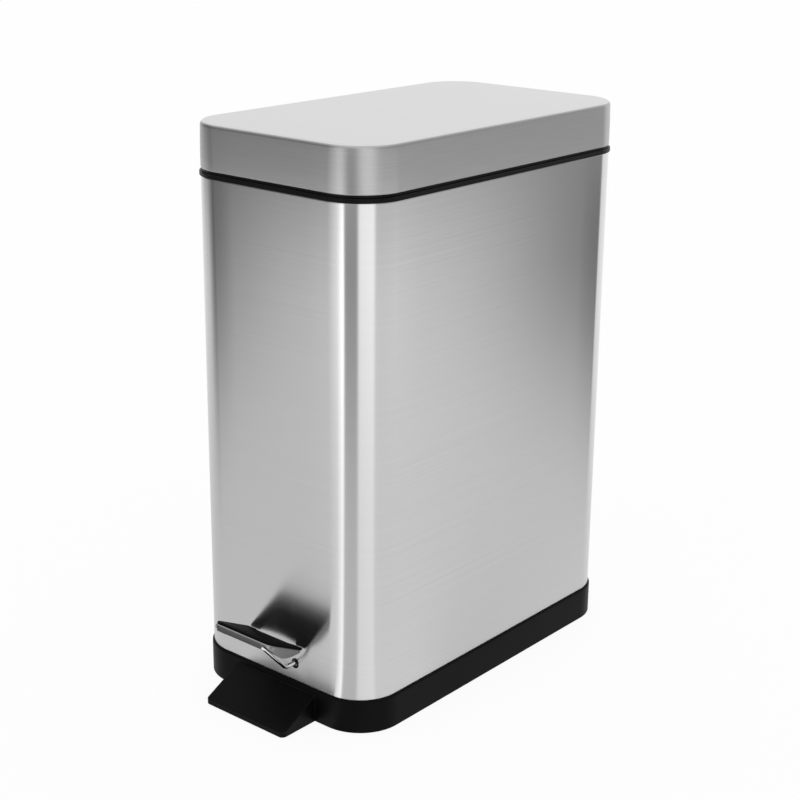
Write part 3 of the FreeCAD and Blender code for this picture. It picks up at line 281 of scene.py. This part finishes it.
def mouldedPlastic(name, finish):
    roughness = finish["roughness"]
    material, tree, shader = startMaterial(name, {"Specular IOR Level": finish["gloss"]})
    place = addNode(tree, "ShaderNodeTexCoord").outputs["Object"]
    # real grain is about 0.1 mm wide, drawn coarser here so that it shows
    grain = addNode(tree, "ShaderNodeTexNoise", inputs={
        "Vector": place, "Scale": 1 / (finish["grain"] * mm), "Detail": 2.0})
    bump = addNode(tree, "ShaderNodeBump", inputs={"Height": grain.outputs[0], **grainDepth})
    tree.links.new(bump.outputs[0], shader.inputs["Normal"])
    flow = addNode(tree, "ShaderNodeTexNoise", inputs={
        "Vector": place, "Scale": 1 / (finish["patch"] * mm)})
    dullness = addNode(tree, "ShaderNodeMapRange", {}, {
        0: flow.outputs[0], 1: noiseSpan[0], 2: noiseSpan[1],
        3: roughness * patchShine[0], 4: roughness * patchShine[1]})
    tree.links.new(dullness.outputs[0], shader.inputs["Roughness"])
    body = addNode(tree, "ShaderNodeValToRGB", inputs={0: flow.outputs[0]})
    rampStops(body, list(zip(patchSpan, map(linear, finish["colours"]))))
    # painted highlight: rounded edges, found by the bevel, get a paler colour
    rounded = addNode(tree, "ShaderNodeBevel", {"samples": paintedHighlightSamples},
                      {"Radius": finish["paintedHighlightWidth"] * mm})
    flat = addNode(tree, "ShaderNodeNewGeometry")
    turned = addNode(tree, "ShaderNodeVectorMath", {"operation": "DOT_PRODUCT"},
                     {0: rounded.outputs[0], 1: flat.outputs["Normal"]})
    paintedEdgeHighlight = addNode(tree, "ShaderNodeMapRange", {},
                     {0: turned.outputs["Value"], 1: paintedHighlightTurn[0], 2: paintedHighlightTurn[1]})
    patchyPaintedHighlight = addNode(tree, "ShaderNodeMath", {"operation": "MULTIPLY"},
                     {0: paintedEdgeHighlight.outputs[0], 1: flow.outputs[0]})
    tone = addNode(tree, "ShaderNodeMix", {"data_type": "RGBA"},
                   {0: patchyPaintedHighlight.outputs[0], 6: body.outputs[0], 7: linear(finish["paintedEdgeHighlight"])})
    tree.links.new(tone.outputs[2], shader.inputs["Base Color"])
    return material


# Plated steel: the thin bright coat mirrors the room, with a cloudy bloom in it

bloomShine = (0.8, 1.2)


def platedSteel(name, finish):
    roughness = finish["roughness"]
    material, tree, shader = startMaterial(name, {"Metallic": 1.0})
    place = addNode(tree, "ShaderNodeTexCoord").outputs["Object"]
    bloom = addNode(tree, "ShaderNodeTexNoise", inputs={
        "Vector": place, "Scale": 1 / (finish["bloom"] * mm), "Detail": 3.0})
    tone = addNode(tree, "ShaderNodeValToRGB", inputs={0: bloom.outputs[0]})
    rampStops(tone, list(zip(patchSpan, map(linear, finish["colours"]))))
    tree.links.new(tone.outputs[0], shader.inputs["Base Color"])
    spread = addNode(tree, "ShaderNodeMapRange", {}, {
        0: bloom.outputs[0], 1: noiseSpan[0], 2: noiseSpan[1],
        3: roughness * bloomShine[0], 4: roughness * bloomShine[1]})
    tree.links.new(spread.outputs[0], shader.inputs["Roughness"])
    return material


# long strokes round the sleeve draw every reflection out upright
sleeveSteel = brushedSteel("brushedStainlessSleeve", {
    "colour": "#D0D0D0", "roughness": 0.22, "smear": 0.9, "lay": "ring",
    "strokeLength": 180, "strokeWidth": 0.6, "toneRange": (0.985, 1.015)})
# the lid's top is brushed more lightly, so it stays evenly pale
lidSteel = brushedSteel("brushedStainlessLidTop", {
    "colour": "#D2D2D2", "roughness": 0.34, "smear": 0.3, "lay": "depth",
    "strokeLength": 150, "strokeWidth": 0.6, "toneRange": (0.985, 1.015)})
# deep drawing leaves the skirt duller than the flat sheet; its greyer colour is painted shade
skirtSteelPaintedShade = brushedSteel("drawnStainlessLidSkirtPaintedShade", {
    "colour": "#B0B0B0", "roughness": 0.36, "smear": 0.1, "lay": "ring",
    "strokeLength": 40, "strokeWidth": 0.7, "toneRange": (0.96, 1.04)})
# the folded step plate is a darker grey than the sleeve, with a wider spread of tone
plateSteel = brushedSteel("brushedStainlessStepPlate", {
    "colour": "#929292", "roughness": 0.26, "smear": 0.3, "lay": "ring",
    "strokeLength": 30, "strokeWidth": 0.6, "toneRange": (0.94, 1.05)})
# each moulded finish's paler edge colour is a painted highlight on its rounded edges
# matt black, nearly without shine
basePlastic = mouldedPlastic("mouldedBlackPolypropylene", {
    "colours": ("#060606", "#090909"), "roughness": 0.42, "gloss": 0.06, "grain": 0.5, "patch": 35,
    "paintedEdgeHighlight": "#3A3A3A", "paintedHighlightWidth": 0.8})
# a smoother black with a soft sheen on its rounded edges, partly a painted highlight
rimPlastic = mouldedPlastic("mouldedBlackAbs", {
    "colours": ("#09090A", "#0C0C0D"), "roughness": 0.36, "gloss": 0.1, "grain": 0.5, "patch": 40,
    "paintedEdgeHighlight": "#1E1E1F", "paintedHighlightWidth": 0.5})
# dead black that swallows light
treadRubber = mouldedPlastic("mouldedBlackRubber", {
    "colours": ("#060606", "#0A0A0A"), "roughness": 0.6, "gloss": 0.05, "grain": 0.4, "patch": 12,
    "paintedEdgeHighlight": "#303030", "paintedHighlightWidth": 0.5})
# dark grey, with the satin of a thin bucket wall
bucketPlastic = mouldedPlastic("mouldedGreyPolypropylene", {
    "colours": ("#292A2C", "#2F3032"), "roughness": 0.45, "gloss": 0.4, "grain": 0.6, "patch": 50,
    "paintedEdgeHighlight": "#4C4D50", "paintedHighlightWidth": 0.6})
# milky white and slippery
linkPlastic = mouldedPlastic("mouldedNaturalAcetal", {
    "colours": ("#D5D2C8", "#DCD9CF"), "roughness": 0.4, "gloss": 0.5, "grain": 0.6, "patch": 10,
    "paintedEdgeHighlight": "#E6E4DC", "paintedHighlightWidth": 0.4})
# nickel over drawn wire mirrors in thin bright and dark stripes
brightWire = platedSteel("nickelPlatedWire", {
    "colours": ("#E4E4E4", "#EEEEEE"), "roughness": 0.06, "bloom": 4})
# zinc over pressings is greyer and dull
zincSteel = platedSteel("zincPlatedSteel", {
    "colours": ("#AEB0B2", "#C2C3C4"), "roughness": 0.35, "bloom": 6})

finishes = {
    "brushed_sleeve": sleeveSteel, "brushed_lid": lidSteel, "step_plate_steel": plateSteel,
    "black_base_plastic": basePlastic, "black_rim_plastic": rimPlastic, "black_liner_plastic": rimPlastic,
    "tread_rubber": treadRubber, "foot_rubber": treadRubber, "bush_plastic": basePlastic,
    "bucket_plastic": bucketPlastic, "bright_wire": brightWire, "link_steel": zincSteel,
    "link_plastic": linkPlastic,
}
for part in frame["record"]["subparts"]:
    cad = nodes[part["node"]]
    cad.data.materials.clear()
    cad.data.materials.append(finishes[part["material_slot"]])
print("materials set")


# Sheet metal: rings round the body, laid one above the other

shell = {
    "corner": 31.5 * mm,
    "sheet": 0.6 * mm,
    "arcSteps": 28,
    "sideSteps": 10,
    "endSteps": 6,
    "hem": ((0.42, 0.02), (0.2, 0.22), (0.06, 0.6), (0.0, 1.2)),  # inset and rise of the rolled edge
    "topFlat": 0.8,  # faces that look up or down more than this are brushed from front to rear
    "crease": math.radians(40),  # a sharper turn than this keeps its edge in the shading
}


def wallRing(box, inset, setup, seam=((0.0, 0.0),)):
    # anticlockwise from the middle of the rear wall, where a seam may stand out: half width and height
    low, high = box
    halfWidth, front, rear = high.x - inset, low.y + inset, high.y - inset
    corner = setup["corner"] - inset
    arcs = []
    arcSteps = setup["arcSteps"]
    for centreX, centreY, start in (
            (corner - halfWidth, rear - corner, 90), (corner - halfWidth, front + corner, 180),
            (halfWidth - corner, front + corner, 270), (halfWidth - corner, rear - corner, 0)):
        turns = [math.radians(start + 90 * step / arcSteps) for step in range(arcSteps + 1)]
        arcs.append([Vector((centreX + corner * math.cos(turn), centreY + corner * math.sin(turn)))
                     for turn in turns])
    halfSeam = [Vector((x * mm, rear + rise * mm)) for x, rise in seam]
    ring = [Vector((-point.x, point.y)) for point in halfSeam]
    halfEnd = setup["endSteps"] // 2
    for arc, steps in zip(arcs, (halfEnd, setup["sideSteps"], setup["endSteps"], setup["sideSteps"])):
        start = ring[-1]
        ring += [start.lerp(arc[0], step / steps) for step in range(1, steps)] + arc
    last = ring[-1]
    ring += [last.lerp(halfSeam[-1], step / halfEnd) for step in range(1, halfEnd)]
    return ring + halfSeam[::-1]


def addPiece(name, shape):
    mesh = bpy.data.meshes.new(name)
    shape.to_mesh(mesh)
    shape.free()
    piece = bpy.data.objects.new(name, mesh)
    scene.collection.objects.link(piece)
    return piece


def ringSkin(name, rings, closed):
    # first and last point of a ring are the same place; a closed section joins its last ring to its first
    shape = bmesh.new()
    belt = shape.loops.layers.uv.new("belt")
    count = len(rings[0]) - 1
    rows = [[shape.verts.new(point) for point in ring[:-1]] for ring in rings]
    along = [0.0]
    for first, second in zip(rings[0], rings[0][1:]):
        along.append(along[-1] + (Vector(second) - Vector(first)).length)
    up = [0.0]
    for lower, upper in zip(rings, rings[1:] + rings[:1]):
        up.append(up[-1] + (Vector(upper[0]) - Vector(lower[0])).length)
    for row in range(len(rows) if closed else len(rows) - 1):
        lower, upper = rows[row], rows[(row + 1) % len(rows)]
        for step in range(count):
            after = (step + 1) % count
            face = shape.faces.new((lower[step], lower[after], upper[after], upper[step]))
            places = ((step, row), (step + 1, row), (step + 1, row + 1), (step, row + 1))
            for loop, (column, line) in zip(face.loops, places):
                loop[belt].uv = (along[column], up[line])
    if not closed:
        shape.faces.new(rows[0])
        shape.faces.new(rows[-1])
    bmesh.ops.recalc_face_normals(shape, faces=shape.faces)
    for face in shape.faces:
        face.smooth = True
        if abs(face.normal.z) > shell["topFlat"]:
            for loop in face.loops:
                loop[belt].uv = (loop.vert.co.y, loop.vert.co.x)
    return addPiece(name, shape)


def blockTool(low, high):
    shape = bmesh.new()
    bmesh.ops.create_cube(shape, size=1)
    for vert in shape.verts:
        vert.co = Vector([low[i] + (high[i] - low[i]) * (vert.co[i] + 0.5) for i in range(3)])
    return addPiece("cuttingBlock", shape)


def slotTool(hole, wall):
    # upright slot with round ends, through the wall at that depth
    points = []
    radius, steps = hole["radius"], hole["steps"]
    for height, start in ((hole["high"], 0), (hole["low"], 180)):
        for step in range(steps + 1):
            turn = math.radians(start + 180 * step / steps)
            points.append((hole["x"] + radius * math.cos(turn), height + radius * math.sin(turn)))
    shape = bmesh.new()
    near, far = ([shape.verts.new((x * mm, wall + depth * mm, z * mm)) for x, z in points]
                 for depth in (-hole["reach"], hole["reach"]))
    shape.faces.new(near)
    shape.faces.new(far[::-1])
    for step in range(len(points)):
        after = (step + 1) % len(points)
        shape.faces.new((near[after], near[step], far[step], far[after]))
    bmesh.ops.recalc_face_normals(shape, faces=shape.faces)
    return addPiece("cuttingSlot", shape)


def cutAway(piece, tools):
    for tool in tools:
        opening = piece.modifiers.new("opening", "BOOLEAN")
        opening.object = tool
        opening.solver = "EXACT"
    seen = piece.evaluated_get(bpy.context.evaluated_depsgraph_get())
    cutMesh = bpy.data.meshes.new_from_object(seen)
    cutMesh.set_sharp_from_angle(angle=shell["crease"])  # keeps the flat wall flat round the opening
    piece.modifiers.clear()
    piece.data = cutMesh
    for tool in tools:
        bpy.data.objects.remove(tool)


def standFor(piece, node, body, materials):
    piece.data.materials.clear()
    for material in materials:
        piece.data.materials.append(material)
    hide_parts(node)
    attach(piece, body)


def lifted(ring, height):
    return [(point.x, point.y, height) for point in ring]


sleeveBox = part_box("body_sleeve")
sleeve = {
    "levels": (0.2, 0.4, 0.6, 0.8),  # shares of the height with a ring of points
    "armHole": {"x": 18.0, "low": 36.94, "high": 38.5, "radius": 2.4, "steps": 16, "reach": 3.0},
    "seam": ((0.0, 0.55), (4.2, 0.55), (4.7, 0.0)),  # folded lock seam down the middle of the back
}


def addSleeve(setup):
    low, high = sleeveBox[0].z, sleeveBox[1].z
    section = [(shell["sheet"], low)]
    section += [(inset * mm, low + rise * mm) for inset, rise in shell["hem"]]
    section += [(0, low + (high - low) * share) for share in setup["levels"]]
    section += [(inset * mm, high - rise * mm) for inset, rise in reversed(shell["hem"])]
    section += [(shell["sheet"], high)]
    rings = [lifted(wallRing(sleeveBox, inset, shell, setup["seam"]), height)
             for inset, height in section]
    piece = ringSkin("sleeveSheet", rings, True)
    cutAway(piece, [slotTool(setup["armHole"], sleeveBox[0].y)])
    standFor(piece, "body_sleeve", "bin_body", [sleeveSteel])


addSleeve(sleeve)
print("sleeve built")

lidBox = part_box("lid_shell")
lid = {
    "edgeRound": 3.0,
    "roundSteps": 10,
    "topShares": (0.98, 0.95, 0.9, 0.85, 0.8, 0.75, 0.7, 0.6, 0.45, 0.25, 0.03),
    "crown": 0.4,       # the flat top stands this much above its rim
    "crownBand": 40.0,  # and rises over this width
    "draft": ((0.0, 9.0), (0.03, 14.0), (0.12, 19.0), (0.28, 24.0)),  # the skirt leans in as it rises
    "lean": 0.36,
    # notches in the rear skirt for the hinge's ears
    "earGaps": ((-28.3, -17.7), (17.7, 28.3)),
    "earGapTop": 371.1,
    "earGapDepth": 1.5,
    "earGapSpare": 1.0,
    "topFacing": 0.7,  # faces that look up more than this have the top's finish
}


def addLid(setup):
    low, high = lidBox[0].z, lidBox[1].z
    centreY = (lidBox[0].y + lidBox[1].y) / 2
    sheet = shell["sheet"]
    crown, band = setup["crown"] * mm, setup["crownBand"] * mm
    edgeRound, lean = setup["edgeRound"] * mm, setup["lean"] * mm

    def skirt(inset):
        leans = [(inset + inward * mm, low + rise * mm) for inward, rise in setup["draft"]]
        return [lifted(wallRing(lidBox, edge, shell), height) for edge, height in leans]

    def dome(inset, top, radius):
        # rounded edge and crowned top of one side of the sheet, from the bottom up
        rings = []
        for step in range(setup["roundSteps"] + 1):
            turn = math.radians(90 * step / setup["roundSteps"])
            edge = inset + radius * (1 - math.cos(turn))
            height = top - crown - radius * (1 - math.sin(turn))
            rings.append(lifted(wallRing(lidBox, edge, shell), height))
        rim = rings[-1]
        for share in setup["topShares"]:
            ring = []
            for x, y, z in rim:
                inner = Vector((x * share, centreY + (y - centreY) * share))
                depth = min(lidBox[1].x - abs(inner.x), inner.y - lidBox[0].y, lidBox[1].y - inner.y)
                part = min(max((depth - inset - radius) / band, 0), 1)
                ring.append((inner.x, inner.y, z + crown * part * part * (3 - 2 * part)))
            rings.append(ring)
        return rings

    outside = [lifted(wallRing(lidBox, inset * mm, shell), low + rise * mm)
               for inset, rise in shell["hem"]]
    outside += skirt(0) + dome(lean, high, edgeRound)
    inside = [lifted(wallRing(lidBox, sheet, shell), low)]
    inside += skirt(sheet) + dome(lean + sheet, high - sheet, edgeRound - sheet)
    piece = ringSkin("lidSheet", inside[::-1] + outside, False)
    rear, spare = lidBox[1].y, setup["earGapSpare"] * mm
    gapFront, gapTop = rear - setup["earGapDepth"] * mm, setup["earGapTop"] * mm
    gaps = [blockTool((left * mm, gapFront, low - spare), (right * mm, rear + spare, gapTop))
            for left, right in setup["earGaps"]]
    cutAway(piece, gaps)
    standFor(piece, "lid_shell", "lid", [lidSteel, skirtSteelPaintedShade])
    # painted shade: faces that do not look up get the skirt's darker copy of the steel
    for face in piece.data.polygons:
        face.material_index = 0 if face.normal.z > setup["topFacing"] else 1


addLid(lid)
print("lid built")


# Step: a folded plate on the bent wire, and a moulded pad with two ears that reach back to the wall

pedal = {
    "frontEdge": (-163.51, 67.2),  # y and z of the plate's front top edge
    "tilt": 26.8,
    "weld": 0.001,  # points nearer than this are joined
}
plate = {
    # x, run from the plate's front edge, corner radius; the rear edge is hollowed
    "corners": ((-27.0, 0.0, 6.5), (27.0, 0.0, 6.5), (27.0, 35.0, 1.5), (18.5, 35.0, 4.0),
                (0.0, 31.8, 104.0), (-18.5, 35.0, 4.0), (-27.0, 35.0, 1.5)),
    "length": 35.0,
    "metal": 1.0,
    "frontSkirt": 4.4,
    "frontBand": 0.01,    # only the straight front edge has it, so the corners stay open
    "sideSkirt": 7.2,     # deepest half way along
    "sideFrom": 20.4,     # the side skirts start this far from the middle
    "bendSteps": 4,
    "steps": 8,
    "spacing": 1.5,       # between points along the outline
}
tread = {
    # x, run from the plate's front edge, corner radius
    "corners": ((-26.4, 0.6, 5.9), (26.4, 0.6, 5.9), (26.4, 36.5, 1.2), (17.5, 36.5, 1.5),
                (15.5, 33.4, 1.5), (-16.0, 33.4, 1.5), (-18.0, 36.5, 1.5), (-26.4, 36.5, 1.2)),
    "edge": ((0.0, 0.0), (0.0, 1.1), (0.15, 1.45), (0.5, 1.6)),  # inset and rise of the rounded rim
    "steps": 8,
}


def filletOutline(corners, steps):
    points = []
    for index, (x, y, radius) in enumerate(corners):
        here = Vector((x, y))
        back = (Vector(corners[index - 1][:2]) - here).normalized()
        ahead = (Vector(corners[(index + 1) % len(corners)][:2]) - here).normalized()
        opening = back.angle(ahead)
        centre = here + (back + ahead).normalized() * radius / math.sin(opening / 2)
        start = here + back * radius / math.tan(opening / 2) - centre
        end = here + ahead * radius / math.tan(opening / 2) - centre
        sweep = start.angle_signed(end)
        for step in range(steps + 1):
            turn = -sweep * step / steps
            points.append(centre + Matrix.Rotation(turn, 2) @ start)
    return points


def insetOutline(points, inset):
    moved = []
    for index, point in enumerate(points):
        along = (points[(index + 1) % len(points)] - points[index - 1]).normalized()
        moved.append(point + Vector((-along.y, along.x)) * inset)
    return moved


def onPedal(x, run, rise):
    lean = math.radians(pedal["tilt"])
    edgeY, edgeZ = pedal["frontEdge"]
    return Vector((x, edgeY + run * math.cos(lean) + rise * math.sin(lean),
                   edgeZ - run * math.sin(lean) + rise * math.cos(lean))) * mm


def pedalSkin(name, rows):
    # rows of (x, run, rise) round the same outline; the first and the last are closed by flat faces
    shape = bmesh.new()
    belt = shape.loops.layers.uv.new("belt")
    verts = [[shape.verts.new(onPedal(*point)) for point in row] for row in rows]
    count = len(rows[0])
    for line, (lower, upper) in enumerate(zip(verts, verts[1:])):
        for step in range(count):
            after = (step + 1) % count
            face = shape.faces.new((lower[step], lower[after], upper[after], upper[step]))
            places = ((step, line), (step + 1, line), (step + 1, line + 1), (step, line + 1))
            for loop, place in zip(face.loops, places):
                loop[belt].uv = place
    for cap in (verts[0], verts[-1]):
        for loop in shape.faces.new(cap).loops:
            loop[belt].uv = loop.vert.co.xy
    bmesh.ops.remove_doubles(shape, verts=shape.verts, dist=pedal["weld"] * mm)
    bmesh.ops.recalc_face_normals(shape, faces=shape.faces)
    for face in shape.faces:
        face.smooth = True
    piece = addPiece(name, shape)
    piece.data.set_sharp_from_angle(angle=shell["crease"])
    return piece


def addPlate(setup):
    outline = []
    rough = filletOutline(setup["corners"], setup["steps"])
    for here, ahead in zip(rough, rough[1:] + rough[:1]):
        parts = max(1, math.ceil((ahead - here).length / setup["spacing"]))
        outline += [here.lerp(ahead, part / parts) for part in range(parts)]
    metal = setup["metal"]
    depths = []
    for x, run in outline:
        if run < setup["frontBand"]:
            depths.append(setup["frontSkirt"])
        elif abs(x) > setup["sideFrom"]:
            swell = math.sin(math.pi * min(run / setup["length"], 1))
            depths.append(metal + (setup["sideSkirt"] - metal) * swell)
        else:
            depths.append(metal)
    rows = []
    for step in range(setup["bendSteps"] + 1):
        turn = math.radians(90 * step / setup["bendSteps"])
        edge = insetOutline(outline, metal * (1 - math.sin(turn)))
        rows.append([(x, run, metal * (math.cos(turn) - 1)) for x, run in edge])
    inner = insetOutline(outline, metal)
    rows.append([(x, run, -depth) for (x, run), depth in zip(outline, depths)])
    rows.append([(x, run, -depth) for (x, run), depth in zip(inner, depths)])
    rows.append([(x, run, -metal) for x, run in inner])
    piece = pedalSkin("stepPlate", rows)
    standFor(piece, "pedal_plate", "pedal", [plateSteel])


def addTread(setup):
    outline = filletOutline(setup["corners"], setup["steps"])
    rows = [[(x, run, rise) for x, run in insetOutline(outline, inset)]
            for inset, rise in setup["edge"]]
    piece = pedalSkin("treadPad", rows)
    standFor(piece, "pedal_tread", "pedal", [treadRubber])


addPlate(plate)
addTread(tread)
print("step built")
